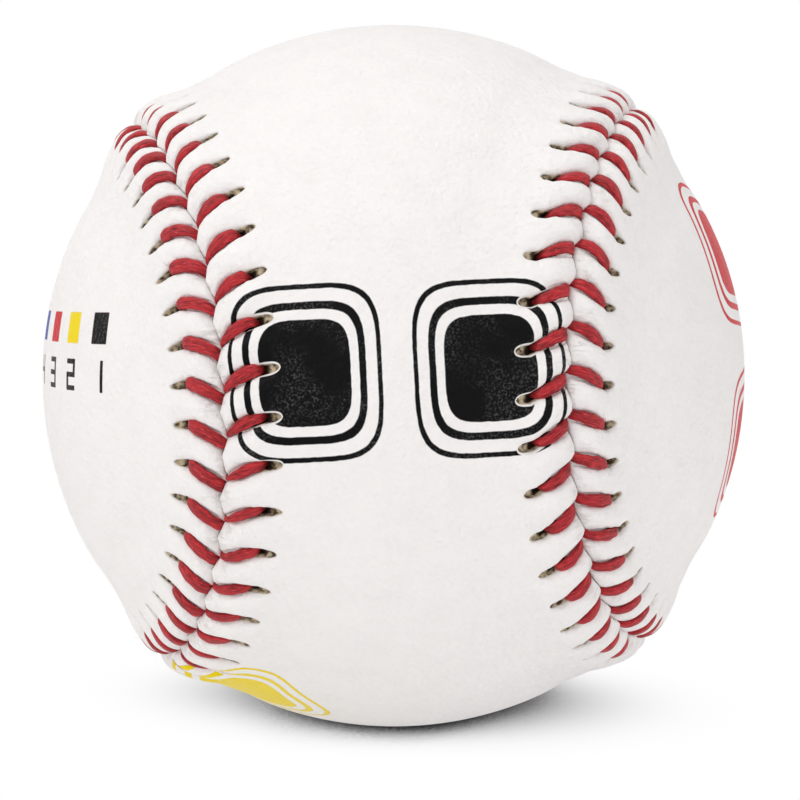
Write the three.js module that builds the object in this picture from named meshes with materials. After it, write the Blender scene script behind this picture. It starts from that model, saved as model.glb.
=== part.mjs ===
// Training baseball: two figure-eight cover panels laced together over a wound core.
// Millimetres, +Z up, the centre of the ball at the origin.
// The waist of cover panel a faces -Y, and its two wide lobes lie over the top and the bottom.

import * as THREE from "three";

// Driving sizes of the whole ball and of its cover
const BALL_DIAMETER = 74.2;
const COVER_THICKNESS = 1.3;
const SEAM_SHOULDER = 3.2;
const LAYER_GAP = 0.35;

// Driving sizes of the lacing: a flat waxed thread in two rows of needle slits
const STITCHES = 108;
const THREAD_THICKNESS = 0.6;
const THREAD_WIDTH = 1.1;
const THREAD_NARROW_WIDTH = 0.7;
const THREAD_CLEARANCE = 0.35;
const SLIT_CLEARANCE = 0.2;
const SLIT_INNER_EDGE = 3.75;
const SLIT_EXTRA_LENGTH = 0.5;
const APEX_LEAD = 1.4;

// Driving sizes of the core
const CORK_DIAMETER = 20.6;
const CORE_SHELL_WALL = 3.6;
const CORE_WASHER_THICKNESS = 1.0;
const CORE_JACKET_WALL = 2.1;

// Driving sizes of the windings: the first grey one fills what the others leave
const WHITE_WINDING_DEPTH = 1.7;
const SECOND_GREY_WINDING_DEPTH = 2.2;
const FINISH_WINDING_DEPTH = 0.6;
const YARN_LEAD_DIAMETER = 2.0;

// Form of the seam curve, as angles in radians on the unit sphere
const WAIST_HALF_ANGLE = 0.402;
const SEAM_BOW = 0.358;
const SEAM_FLATTENING = 0.053;

// How the rows of slits run, in stitches: the first stitch's place and one row's lead on the other
const FIRST_STITCH = -0.765;
const ROW_LEAD = 0.115;
const ROW_SWAY = 0.22;

// Counts of facets
const SPHERE_SIDES = 20;
const SPHERE_STEPS = 12;
const FIELD_POINTS = 72;
const FIELD_STEPS = 10;
const ARC_SAMPLES = 4000;

// Radii that follow from the driving sizes, from the outside in
const coverRadius = BALL_DIAMETER / 2;
const coverInnerRadius = coverRadius - COVER_THICKNESS;
const finishRadius = coverInnerRadius - LAYER_GAP;
const secondGreyRadius = finishRadius - FINISH_WINDING_DEPTH - LAYER_GAP;
const whiteRadius = secondGreyRadius - SECOND_GREY_WINDING_DEPTH - LAYER_GAP;
const firstGreyRadius = whiteRadius - WHITE_WINDING_DEPTH - LAYER_GAP;

// Radii of the core, from the inside out
const corkRadius = CORK_DIAMETER / 2;
const shellInnerRadius = corkRadius + LAYER_GAP;
const shellRadius = shellInnerRadius + CORE_SHELL_WALL;
const jacketInnerRadius = shellRadius + LAYER_GAP;
const jacketRadius = jacketInnerRadius + CORE_JACKET_WALL;
const shellFaceHeight = CORE_WASHER_THICKNESS / 2 + LAYER_GAP;
const jacketFaceHeight = LAYER_GAP / 2;

// The hidden runs of thread pass between the last winding and the cover, which lifts the seam
const hiddenRunRadius = finishRadius + THREAD_CLEARANCE + THREAD_THICKNESS / 2;
const seamInnerRadius = hiddenRunRadius + THREAD_THICKNESS / 2 + THREAD_CLEARANCE;
const seamOuterRadius = seamInnerRadius + COVER_THICKNESS;
const visibleRunRadius = seamOuterRadius + THREAD_CLEARANCE + THREAD_THICKNESS / 2;

// Distances across the seam, measured from its middle along the surface
const panelEdge = THREAD_THICKNESS / 2 + THREAD_CLEARANCE;
const slitLength = THREAD_THICKNESS + 2 * THREAD_CLEARANCE + SLIT_EXTRA_LENGTH;
const slitOuterEdge = SLIT_INNER_EDGE + slitLength;
const slitHalfWidth = THREAD_NARROW_WIDTH / 2 + SLIT_CLEARANCE;
const threadTurn = SLIT_INNER_EDGE + THREAD_CLEARANCE + THREAD_THICKNESS / 2;
const seamFoot = slitOuterEdge + SEAM_SHOULDER;
const apexSplit = THREAD_WIDTH / 2 + THREAD_CLEARANCE;

// The seam is one closed curve on the unit sphere, with its parameter running from 0 to 4 pi.
// It passes each panel's waist on both sides and goes round the ends of both panels.
function seamPoint(t) {
  const bow = (Math.PI / 2 - WAIST_HALF_ANGLE) * Math.cos(t);
  const flattening = SEAM_FLATTENING * (Math.cos(3 * t) - Math.cos(t));
  const polar = Math.PI / 2 - bow + flattening;
  const around = t / 2 + SEAM_BOW * Math.sin(2 * t);
  return new THREE.Vector3(
    Math.sin(polar) * Math.cos(around),
    -Math.cos(polar),
    Math.sin(polar) * Math.sin(around),
  );
}

// Length along the unit seam up to each of many even parameter steps
const seamLengths = [0];
let previousPoint = seamPoint(0);
for (let i = 1; i <= ARC_SAMPLES; i += 1) {
  const point = seamPoint((4 * Math.PI * i) / ARC_SAMPLES);
  seamLengths.push(seamLengths[i - 1] + point.distanceTo(previousPoint));
  previousPoint = point;
}
const seamTotal = seamLengths[ARC_SAMPLES];

// Parameter of the seam at a share of its whole length, where 0 and 1 are the same place
function seamParameter(share) {
  const wanted = (share - Math.floor(share)) * seamTotal;
  let low = 0;
  let high = ARC_SAMPLES;
  while (high - low > 1) {
    const middle = Math.floor((low + high) / 2);
    if (seamLengths[middle] <= wanted) {
      low = middle;
    } else {
      high = middle;
    }
  }
  const step = (wanted - seamLengths[low]) / (seamLengths[high] - seamLengths[low]);
  return (4 * Math.PI * (low + step)) / ARC_SAMPLES;
}

// Directions at a place on the seam: out of the ball, along the seam and across it to panel a
function seamFrame(share) {
  const t = seamParameter(share);
  const out = seamPoint(t);
  const along = seamPoint(t + 1e-4).sub(seamPoint(t - 1e-4));
  along.addScaledVector(out, -along.dot(out)).normalize();
  const across = new THREE.Vector3().crossVectors(out, along);
  return { out, along, across };
}

// Share of the seam's length that a length in millimetres on the cover takes
function shareOf(length) {
  return length / (seamTotal * coverRadius);
}

// Place beside the seam: share along it, distance across it and radius from the ball's centre
function besideSeam(share, across, radius) {
  const frame = seamFrame(share);
  const angle = across / coverRadius;
  const point = frame.out.clone().multiplyScalar(Math.cos(angle));
  point.addScaledVector(frame.across, Math.sin(angle));
  return point.multiplyScalar(radius);
}

// Share at which a stitch has its slit. Panel a is side 1 and panel b is side -1.
function slitShare(stitch, side) {
  const place = (stitch + FIRST_STITCH) / STITCHES;
  const lead = ROW_LEAD + ROW_SWAY * Math.sin(4 * Math.PI * place);
  return place - (side * lead) / STITCHES;
}

// Share at which the two threads of a stitch go down between the panels
function apexShare(stitch, side) {
  const place = (stitch + FIRST_STITCH) / STITCHES;
  return place + shareOf(APEX_LEAD - side * apexSplit);
}

// A list of corners and triangles that becomes one closed body. Its faces can be turned over.
class Body {
  constructor() {
    this.corners = [];
    this.triangles = [];
    this.turned = false;
  }

  add(point) {
    this.corners.push(point.x, point.y, point.z);
    return this.corners.length / 3 - 1;
  }

  corner(index) {
    return new THREE.Vector3().fromArray(this.corners, 3 * index);
  }

  triangle(a, b, c) {
    if (this.turned) {
      this.triangles.push(a, c, b);
    } else {
      this.triangles.push(a, b, c);
    }
  }

  quad(a, b, c, d) {
    this.triangle(a, b, c);
    this.triangle(a, c, d);
  }

  // Band of quads between two closed rings of equally many corners
  band(first, second) {
    for (let i = 0; i < first.length; i += 1) {
      const next = (i + 1) % first.length;
      this.quad(first[i], first[next], second[next], second[i]);
    }
  }

  // Band of triangles between two closed rings of unlike counts, led by their shares along the seam
  joinRings(first, firstShares, second, secondShares) {
    let i = 0;
    let j = 0;
    while (i < first.length || j < second.length) {
      const a = first[i % first.length];
      const b = second[j % second.length];
      const nextFirst = i < first.length ? firstShares[i + 1] : Infinity;
      const nextSecond = j < second.length ? secondShares[j + 1] : Infinity;
      if (nextFirst <= nextSecond) {
        i += 1;
        this.triangle(a, first[i % first.length], b);
      } else {
        j += 1;
        this.triangle(a, second[j % second.length], b);
      }
    }
  }

  geometry() {
    const geometry = new THREE.BufferGeometry();
    geometry.setAttribute("position", new THREE.Float32BufferAttribute(this.corners, 3));
    geometry.setIndex(this.triangles);
    geometry.computeVertexNormals();
    return geometry;
  }
}

// Corners of one rung across a panel, from a foot corner to its mirror image on the other side
function rungAcross(body, startCorner, endCorner) {
  const start = body.corner(startCorner);
  const end = body.corner(endCorner);
  const angle = start.angleTo(end);
  const rung = [startCorner];
  for (let j = 1; j < FIELD_STEPS; j += 1) {
    const share = j / FIELD_STEPS;
    const point = start.clone().multiplyScalar(Math.sin((1 - share) * angle));
    point.addScaledVector(end, Math.sin(share * angle));
    rung.push(body.add(point.setLength(start.length())));
  }
  rung.push(endCorner);
  return rung;
}

// Field of a panel inside the seam's foot: rungs cross it, and the two ends close to a point
function fillField(body, foot) {
  const half = foot.length / 2;
  let last = [foot[0]];
  for (let i = 1; i <= half; i += 1) {
    const rung = i < half ? rungAcross(body, foot[i], foot[foot.length - i]) : [foot[half]];
    for (let j = 0; j < FIELD_STEPS; j += 1) {
      if (last.length > 1) {
        body.triangle(last[j], rung[Math.min(j, rung.length - 1)], last[j + 1]);
      }
      if (rung.length > 1) {
        body.triangle(last[Math.min(j + 1, last.length - 1)], rung[j], rung[j + 1]);
      }
    }
    last = rung;
  }
}

// One cover panel: an outer and an inner face, the cut edge at the seam and a row of needle slits.
// The panel's two ends touch the seam at the share "tip" and half the seam further on.
function coverPanel(side, tip) {
  const body = new Body();
  const firstStitch = Math.ceil(tip * STITCHES) + 2;
  const shares = [];
  for (let i = 0; i <= STITCHES; i += 1) {
    const slit = slitShare(firstStitch + i, side);
    shares.push(slit - shareOf(slitHalfWidth), slit + shareOf(slitHalfWidth));
  }
  shares.pop();
  const columns = shares.slice(0, 2 * STITCHES);
  const row = (across, radius) => columns.map((share) => body.add(besideSeam(share, side * across, radius)));
  const footShares = [];
  for (let i = 0; i <= FIELD_POINTS; i += 1) {
    footShares.push(tip + i / FIELD_POINTS);
  }

  // Both faces have the same corners, one above the other
  const faces = [
    { seamRadius: seamOuterRadius, fieldRadius: coverRadius, turned: side < 0 },
    { seamRadius: seamInnerRadius, fieldRadius: coverInnerRadius, turned: side > 0 },
  ];
  for (const face of faces) {
    body.turned = face.turned;
    face.edge = row(panelEdge, face.seamRadius);
    face.slitStart = row(SLIT_INNER_EDGE, face.seamRadius);
    face.slitEnd = row(slitOuterEdge, face.seamRadius);
    body.band(face.edge, face.slitStart);
    for (let i = 1; i < columns.length; i += 2) {
      const next = (i + 1) % columns.length;
      body.quad(face.slitStart[i], face.slitStart[next], face.slitEnd[next], face.slitEnd[i]);
    }
    const foot = footShares.slice(0, FIELD_POINTS).map((share) => (
      body.add(besideSeam(share, side * seamFoot, face.fieldRadius))
    ));
    const turn = Math.round((shares[0] - tip) * FIELD_POINTS);
    const turnedFoot = foot.map((corner, i) => foot[(i + turn) % foot.length]);
    const turnedShares = footShares.map((share) => share + turn / FIELD_POINTS);
    body.joinRings(face.slitEnd, shares, turnedFoot, turnedShares);
    fillField(body, foot);
  }

  // Walls join the faces at the seam and round every slit
  const [outer, inner] = faces;
  body.turned = side < 0;
  body.band(inner.edge, outer.edge);
  for (let i = 0; i < columns.length; i += 2) {
    const around = (face) => [face.slitStart[i], face.slitStart[i + 1], face.slitEnd[i + 1], face.slitEnd[i]];
    body.band(around(outer), around(inner));
  }
  return body.geometry();
}

// One lacing thread: it comes up through a slit, crosses the edge of the panel to the seam, goes down
// between the panels and runs under the other panel to that panel's next slit.
function lacing(firstSide) {
  const body = new Body();
  const rings = [];

  // A ring is a flat section of the thread: its width lies along the seam, and its thickness slants
  const addRing = (share, across, radius, width, slantAcross, slantOut) => {
    const frame = seamFrame(share);
    const middle = besideSeam(share, across, radius);
    const out = middle.clone().normalize();
    const reach = frame.along.clone().multiplyScalar(width / 2);
    const slant = new THREE.Vector3().crossVectors(out, frame.along).multiplyScalar(slantAcross);
    slant.addScaledVector(out, slantOut).multiplyScalar(THREAD_THICKNESS / 2);
    rings.push([
      body.add(middle.clone().add(reach).add(slant)),
      body.add(middle.clone().sub(reach).add(slant)),
      body.add(middle.clone().sub(reach).sub(slant)),
      body.add(middle.clone().add(reach).sub(slant)),
    ]);
  };
  for (let stitch = 0; stitch < STITCHES; stitch += 1) {
    const side = stitch % 2 === 0 ? firstSide : -firstSide;
    const slit = slitShare(stitch, side);
    const apex = apexShare(stitch, side);
    addRing(slit, side * threadTurn, hiddenRunRadius, THREAD_NARROW_WIDTH, -1, side);
    addRing(slit, side * threadTurn, visibleRunRadius, THREAD_NARROW_WIDTH, -1, -side);
    addRing(apex, 0, visibleRunRadius, THREAD_WIDTH, 1, -side);
    addRing(apex, 0, hiddenRunRadius, THREAD_NARROW_WIDTH, 1, -side);
  }

  // The thread has two ends, both hidden under the cover
  for (let i = 1; i < rings.length; i += 1) {
    body.band(rings[i], rings[i - 1]);
  }
  body.quad(...rings[0]);
  body.quad(...rings[rings.length - 1].slice().reverse());
  return body.geometry();
}

// Points of an arc about the ball's centre, from a low height to a high one, in the profile plane.
// The steps fall on the same angles at every radius, so neighbouring shells keep an even gap.
function profileArc(radius, lowHeight, highHeight) {
  const low = Math.asin(lowHeight / radius);
  const high = Math.asin(highHeight / radius);
  const turn = Math.PI / SPHERE_STEPS;
  const angles = [low];
  for (let i = 1; i < SPHERE_STEPS; i += 1) {
    const angle = i * turn - Math.PI / 2;
    if (angle > low + turn / 8 && angle < high - turn / 8) {
      angles.push(angle);
    }
  }
  angles.push(high);
  return angles.map((angle) => new THREE.Vector2(Math.cos(angle) * radius, Math.sin(angle) * radius));
}

// Solid turned about Z from a profile that has its material on the left all the way
function turnedSolid(profile) {
  const clean = profile.map((point) => new THREE.Vector2(point.x < 1e-6 ? 0 : point.x, point.y));
  const geometry = new THREE.LatheGeometry(clean, SPHERE_SIDES);
  geometry.rotateX(Math.PI / 2);
  return geometry;
}

// Solid ball about the centre
function ball(radius) {
  return turnedSolid(profileArc(radius, -radius, radius));
}

// Wound layer: a round shell, open at the top where the start of its yarn is led in
function woundLayer(outerRadius, innerRadius) {
  const lead = YARN_LEAD_DIAMETER / 2;
  const topOf = (radius) => Math.sqrt(radius * radius - lead * lead);
  const outer = profileArc(outerRadius, -outerRadius, topOf(outerRadius));
  const inner = profileArc(innerRadius, -innerRadius, topOf(innerRadius));
  return turnedSolid([...outer, ...inner.reverse()]);
}

// Upper half of a round shell, with its flat rim at a height above the middle of the ball
function halfShell(outerRadius, innerRadius, rimHeight) {
  const outer = profileArc(outerRadius, rimHeight, outerRadius);
  const inner = profileArc(innerRadius, rimHeight, innerRadius);
  return turnedSolid([...inner.reverse(), ...outer]);
}

// Flat ring that lies between the rims of the two core shells
function washer(outerRadius, innerRadius, thickness) {
  const half = thickness / 2;
  const profile = [
    new THREE.Vector2(innerRadius, -half),
    new THREE.Vector2(outerRadius, -half),
    new THREE.Vector2(outerRadius, half),
    new THREE.Vector2(innerRadius, half),
    new THREE.Vector2(innerRadius, -half),
  ];
  return turnedSolid(profile);
}

// Adds a named sub-part with a material of its own to the ball
const trainingBaseball = new THREE.Group();
trainingBaseball.name = "training_baseball";
function addPart(name, geometry, color, roughness) {
  const material = new THREE.MeshStandardMaterial({ color, roughness, metalness: 0 });
  const mesh = new THREE.Mesh(geometry, material);
  mesh.name = name;
  trainingBaseball.add(mesh);
  return mesh;
}

// Core: a cork ball in two rubber half shells with a washer between, in a moulded rubber jacket
addPart("cork_center", ball(corkRadius), 0x9c6b3f, 0.9);
const coreShell = () => halfShell(shellRadius, shellInnerRadius, shellFaceHeight);
const coreJacket = () => halfShell(jacketRadius, jacketInnerRadius, jacketFaceHeight);
addPart("core_shell_upper", coreShell(), 0x1c1c1e, 0.7);
addPart("core_shell_lower", coreShell(), 0x1c1c1e, 0.7).rotation.x = Math.PI;
addPart("core_washer", washer(shellRadius, shellInnerRadius, CORE_WASHER_THICKNESS), 0x9e2b25, 0.6);
addPart("core_jacket_upper", coreJacket(), 0xa8322a, 0.6);
addPart("core_jacket_lower", coreJacket(), 0xa8322a, 0.6).rotation.x = Math.PI;

// Windings, each seated on the one before
const onto = (radius) => radius + LAYER_GAP;
addPart("first_grey_winding", woundLayer(firstGreyRadius, onto(jacketRadius)), 0x77757a, 0.95);
addPart("white_winding", woundLayer(whiteRadius, onto(firstGreyRadius)), 0xe6e1d6, 0.95);
addPart("second_grey_winding", woundLayer(secondGreyRadius, onto(whiteRadius)), 0x807e83, 0.95);
addPart("finish_winding", woundLayer(finishRadius, onto(secondGreyRadius)), 0xeeeae0, 0.9);

// Cover and lacing: panel a's ends are a quarter and three quarters along the seam, panel b's at 0 and 1/2
addPart("cover_panel_a", coverPanel(1, 0.25), 0xefedee, 0.5);
addPart("cover_panel_b", coverPanel(-1, 0), 0xefedee, 0.5);
addPart("lacing_thread_a", lacing(1), 0xb3232f, 0.6);
addPart("lacing_thread_b", lacing(-1), 0xb3232f, 0.6);

export default trainingBaseball;
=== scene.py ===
# %% [markdown]
# This lesson dresses a training baseball in Blender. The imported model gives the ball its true
# sizes: a cork and rubber core, four wound layers, two figure-eight cover panels and two lacing
# threads. Each visible piece is made again here as a fine mesh in the same place, in metres.

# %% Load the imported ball
import math

import bpy
import numpy as np
from mathutils import Matrix, Vector


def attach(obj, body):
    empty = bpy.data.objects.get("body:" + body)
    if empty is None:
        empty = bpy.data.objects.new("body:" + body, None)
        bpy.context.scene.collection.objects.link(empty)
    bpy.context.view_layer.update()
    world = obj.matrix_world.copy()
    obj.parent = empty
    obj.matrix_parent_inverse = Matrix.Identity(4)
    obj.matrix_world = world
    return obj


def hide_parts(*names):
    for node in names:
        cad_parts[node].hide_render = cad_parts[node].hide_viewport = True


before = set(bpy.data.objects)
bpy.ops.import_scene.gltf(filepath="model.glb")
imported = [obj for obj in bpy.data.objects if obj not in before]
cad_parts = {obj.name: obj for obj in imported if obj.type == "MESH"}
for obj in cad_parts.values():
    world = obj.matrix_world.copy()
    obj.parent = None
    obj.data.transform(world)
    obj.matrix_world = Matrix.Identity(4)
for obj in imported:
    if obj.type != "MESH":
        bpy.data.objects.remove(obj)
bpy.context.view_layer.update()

print("nodes:", sorted(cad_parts))

# %% [markdown]
# The ball's sizes are written once, in millimetres. The cover's round part has the radius of a
# regulation ball. The seam is one closed curve that both panels share: near each panel's waist it
# comes close to itself, and it swings wide round the four lobes.

# %% Sizes of the ball and its seam
MM = 0.001
BALL_RADIUS = 37.1
COVER_THICKNESS = 1.3
STITCHES = 108

# Shape of the seam's curve, in radians
WAIST_HALF_ANGLE = 0.402
SEAM_BOW = 0.358
SEAM_FLATTENING = 0.053


def seam_point(t):
    """Point of the seam on the unit ball, for a parameter from 0 to 4 pi."""
    bow = (math.pi / 2 - WAIST_HALF_ANGLE) * np.cos(t)
    polar = math.pi / 2 - bow + SEAM_FLATTENING * (np.cos(3 * t) - np.cos(t))
    around = t / 2 + SEAM_BOW * np.sin(2 * t)
    x = np.sin(polar) * np.cos(around)
    z = np.sin(polar) * np.sin(around)
    return np.stack([x, -np.cos(polar), z], axis=-1)


arc_parameters = np.linspace(0, 4 * math.pi, 8001)
arc_steps = np.linalg.norm(np.diff(seam_point(arc_parameters), axis=0), axis=1)
arc_lengths = np.concatenate([[0], np.cumsum(arc_steps)])
seam_length = arc_lengths[-1] * BALL_RADIUS
stitch_pitch = seam_length / STITCHES
print(f"seam {seam_length:.1f} mm long, a stitch every {stitch_pitch:.2f} mm")

# %% [markdown]
# A place beside the seam needs three directions: out of the ball, along the seam and across it
# towards panel a. With them any point is given by its share of the seam's length, its distance
# across the seam and its height above the ball, as a saddler would measure it with a tape.

# %% Places beside the seam


def unit(vectors):
    """The same directions with length one."""
    return vectors / np.linalg.norm(vectors, axis=-1, keepdims=True)


def seam_frame(share):
    """Directions out of the ball, along the seam and across it, at shares of the seam's length."""
    t = np.interp(np.mod(share, 1), arc_lengths / arc_lengths[-1], arc_parameters)
    out = seam_point(t)
    along = seam_point(t + 1e-4) - seam_point(t - 1e-4)
    along = unit(along - out * (along * out).sum(-1, keepdims=True))
    return out, along, np.cross(out, along)


def beside_seam(share, across, height):
    """Points at a distance across the seam and a height above the ball, in millimetres."""
    share, across, height = np.broadcast_arrays(share, across, height)
    out, along, sideways = seam_frame(share)
    angle = (across / BALL_RADIUS)[..., None]
    return (out * np.cos(angle) + sideways * np.sin(angle)) * (BALL_RADIUS + height)[..., None]


print("the seam starts at", beside_seam(0, 0, 0).round(1))

# %% Soft steps and humps


def smooth(value, low, high):
    """0 below low, 1 above high and a soft step between."""
    step = np.clip((value - low) / (high - low), 0, 1)
    return step * step * (3 - 2 * step)


def hump(value, width):
    """1 at zero, and fading softly on both sides."""
    return np.exp(-((value / width) ** 2))


print("smooth(0.3, 0, 1) and hump(0.3, 1) are", smooth(0.3, 0, 1).round(3), hump(0.3, 1).round(3))

# %% [markdown]
# Stitches are not square to the seam. The thread leaves a slit, runs ahead along the seam and
# dives between the panels, so each pair makes a V. The columns of the mesh follow that path: the
# column of a whole number is the middle of a stroke of thread, and halves lie between strokes.
# Hand work shows in small random differences, which are drawn once from a fixed seed.

# %% Hand work and the two sides of the ball
FIRST_STITCH = -0.79
EXIT_SHIFT = 0.25

hand = np.random.default_rng(11)
hand_tables = {
    name: {side: hand.uniform(-1, 1, STITCHES) for side in (1, -1)}
    for name in ("width", "bow", "press", "lobe", "slit", "twist", "lift")
}


def by_hand(name, side, column):
    """The random difference of the stitch nearest to a column, from -1 to 1."""
    return hand_tables[name][side][np.mod(np.rint(column), STITCHES).astype(int)]


def seam_swing(column):
    """1 where the front of the ball shows the seam at its right, -1 where it shows it at its left."""
    return np.cos(2 * math.pi * (column + FIRST_STITCH) / STITCHES)


def right_seam(column):
    """The same from 1 at the right to 0 at the left."""
    return 0.5 + 0.5 * seam_swing(column)


def exit_shift(column, side):
    """How much nearer to the joint the thread comes out of its slit, in millimetres."""
    return EXIT_SHIFT * (1 + right_seam(column) * (1 + 0.6 * side))


print(f"{len(hand_tables)} tables with a small difference for each of {STITCHES} stitches on each side")

# %% Path of the stitches
SLIT_TIP = 5.05

# How far a row of slits is ahead of its stitch, in stitches. It changes round the ball, and grows
# from the joint up to a distance in millimetres.
ROW_LEAD = 0.19
ROW_SWAY = 0.23
ROW_PHASE = -0.25
LEAD_REACH = 5.6

# How far a stroke runs ahead up to the joint, in millimetres, and how bent its path is
FACE_REACH = 3.6
APEX_LEAD = 1.4
APEX_SPLIT = 0.38
STROKE_BEND = -0.1
BEND_SWAY = 0.6

# How far the joint zigzags, in millimetres, and where in a stitch it crosses the middle
JOINT_ZIGZAG = 0.20
JOINT_CROSSING = 0.69


def share_at(column, across, side):
    """Share of the seam's length at which a column lies, at a distance across the seam."""
    place = (column + FIRST_STITCH) / STITCHES
    bend = STROKE_BEND + BEND_SWAY * seam_swing(column)
    from_joint = np.clip(across / FACE_REACH, 0, 1)
    to_apex = (1 - from_joint) * (1 + bend * from_joint)
    ahead = (APEX_LEAD - side * APEX_SPLIT) * to_apex / seam_length
    lead = (ROW_LEAD + ROW_SWAY * np.sin(4 * math.pi * place + ROW_PHASE)) / STITCHES
    return place + ahead - side * lead * np.minimum(across, LEAD_REACH) / SLIT_TIP


def seam_wander(share, across):
    """How far the joint wanders from the middle of the seam, in millimetres. It fades beside it."""
    turns = (share * STITCHES - JOINT_CROSSING) * 2 * math.pi
    zigzag = np.sin(turns) + 0.35 * np.sin(2 * turns)
    wander = 0.05 * np.sin(turns * 40 / STITCHES + 2.0) - JOINT_ZIGZAG * zigzag
    return wander * hump(across, 2.0)


for panel, side in (("a", 1), ("b", -1)):
    ahead = (share_at(0, 0, side) - share_at(0, SLIT_TIP, side)) * seam_length
    print(f"a stroke on panel {panel} runs ahead by {ahead:.2f} mm")

# %% [markdown]
# The leather is pulled over a hard core and laced tight. It rises towards the seam, swells into a
# soft lobe between strokes, is pressed down under each stroke, rolls over into the joint, and has
# a slit cut by the needle at the foot of each stroke. All of that is one height above the ball.

# %% Height of the leather
SEAM_RISE = 0.72
RIDGE_END = 9.2
DIP = 0.10
ARCH = 0.42
LOBE_RISE = 0.76
FLOOR_DROP = 0.30
JOINT_ROUNDING = 0.30
CHANNEL_HALF = 0.65


def channel_half(column, across, side):
    """Half the width of the groove under a stroke, in millimetres along the seam."""
    right = right_seam(column)
    joint_taper = 0.34 * (1 - right) if side > 0 else 0.16 * right
    exit_taper = 0.15 + 0.06 * right * (side > 0)
    half = CHANNEL_HALF * (1 + 0.08 * by_hand("press", side, column))
    half = half - joint_taper * (1 - smooth(across, 0.1, 2.1))
    half = half - exit_taper * smooth(across, 2.4 - 0.5 * right, 3.6 - exit_shift(column, side))
    return half + 0.025 * np.sin(6.3 * across + 3 * by_hand("bow", side, column))


def ridge_foot(across):
    """The slight dip where the raised seam ends, in millimetres above the ball."""
    return -DIP * hump(across - 9.4, 1.5)


def leather_height(column, across, side):
    """Height of a panel's outer face above the ball, in millimetres, without its slits."""
    phase = np.abs(column - np.rint(column)) * stitch_pitch
    ridge = SEAM_RISE * (1 - smooth(across, 2.6, RIDGE_END)) + ridge_foot(across)
    arch = ARCH * hump(across - 1.75, 1.35)
    channel = channel_half(column, across, side)
    from_top = np.clip((stitch_pitch / 2 - phase) / (stitch_pitch / 2 - channel), 0, 1)
    cushion = (1 - from_top ** 2.2) ** 0.58
    size = (LOBE_RISE + 0.05 * side) * (1 + 0.14 * by_hand("lobe", side, np.floor(column) + 0.01))
    fade = 1 - smooth(across, 2.8, 6.4)
    rounding = JOINT_ROUNDING * hump(across, 0.55) * cushion
    pucker = 0.03 * np.sin(2 * math.pi * (2.3 * column + 0.25 * across)) * hump(across, 1.6)
    lifted = size * fade * cushion + pucker * cushion - rounding
    return ridge + arch + lifted - FLOOR_DROP * (1 - smooth(across, 2.2, 5.4))


for where, column in (("between strokes", 0.5), ("under a stroke", 0)):
    print(f"leather {leather_height(column, 2.0, 1):.2f} mm above the ball {where}")

# %% Slits
SLIT_START = 2.85
TIP_SWAY = 0.28
SLIT_HALF_WIDTH = 0.42
SLIT_DEPTH = 1.2
SLIT_LIP = 0.05


def slit_start(column, side):
    """How far from the seam a slit starts."""
    return SLIT_START - exit_shift(column, side)


def slit_tip(column, side):
    """How far from the seam a slit ends. It drifts a little once round the ball."""
    return SLIT_TIP - TIP_SWAY * seam_swing(column) + 0.10 * by_hand("slit", side, column)


def slit_distance(column, across, side):
    """Distance in millimetres from the outline of the nearest slit, negative inside it."""
    start = slit_start(column, side)
    length = slit_tip(column, side) - start
    aside = np.abs(column - np.rint(column)) * stitch_pitch / SLIT_HALF_WIDTH
    along = np.maximum(across - start, 0) / length
    bluntness = 6.0 + 2.0 * right_seam(column) + 0.8 * by_hand("twist", side, column)
    shape = aside ** 1.7 + along ** bluntness
    steep_wide = 1.7 * aside ** 0.7 / SLIT_HALF_WIDTH
    steep_long = bluntness * along ** (bluntness - 1) / length
    distance = (shape - 1) / np.hypot(np.maximum(steep_wide, 0.8), steep_long)
    return np.maximum(distance, (start - across) * 2)


def slit_cut(column, across, side):
    """How deep a point lies in a needle slit, from 0 on the face to 1 where the thread goes in."""
    wall = 1 - smooth(slit_distance(column, across, side), -0.11, 0.02)
    start = slit_start(column, side)
    return wall * (1 - 0.64 * smooth(across, start + 0.6, start + 2.0))


print(f"a slit is {slit_tip(0, 1) - slit_start(0, 1):.2f} mm long and {2 * SLIT_HALF_WIDTH:.2f} mm wide")

# %% [markdown]
# A mesh this fine is quickest made from whole arrays. One helper takes points in millimetres and
# lists of quads and triangles, writes them to Blender at once, and adds any values that the
# materials read later, such as where the leather is cut.

# %% Helper that makes a mesh piece


def make_piece(name, points, quads, triangles=(), values=()):
    """A smooth-shaded mesh object from points in millimetres and lists of corner numbers."""
    corners = [np.reshape(quads, (-1, 4)), np.reshape(triangles, (-1, 3))]
    loops = np.concatenate([part.astype(np.int32).ravel() for part in corners])
    totals = np.concatenate([np.full(len(part), part.shape[1], np.int32) for part in corners])
    mesh = bpy.data.meshes.new(name)
    mesh.vertices.add(len(points))
    mesh.vertices.foreach_set("co", (np.asarray(points) * MM).astype(np.float32).ravel())
    mesh.loops.add(len(loops))
    mesh.loops.foreach_set("vertex_index", loops)
    mesh.polygons.add(len(totals))
    mesh.polygons.foreach_set("loop_start", np.concatenate([[0], np.cumsum(totals)[:-1]]).astype(np.int32))
    mesh.polygons.foreach_set("use_smooth", np.ones(len(totals), bool))
    mesh.update(calc_edges=True)
    mesh.validate()
    for key, numbers in dict(values).items():
        layer = mesh.attributes.new(key, "FLOAT", "POINT")
        layer.data.foreach_set("value", np.asarray(numbers, np.float32))
    piece = bpy.data.objects.new(name, mesh)
    bpy.context.scene.collection.objects.link(piece)
    print(f"{name}: {len(points)} points, {len(totals)} faces")
    return piece


# %% [markdown]
# A panel is a band of fine rows along the seam and a coarser field inside it. The rows start down
# in the joint, go over the rolled edge and past the slits. Where the leather is plain again, a ring
# of triangles steps down to fewer points, and rungs cross the field from side to side like a ladder.

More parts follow.
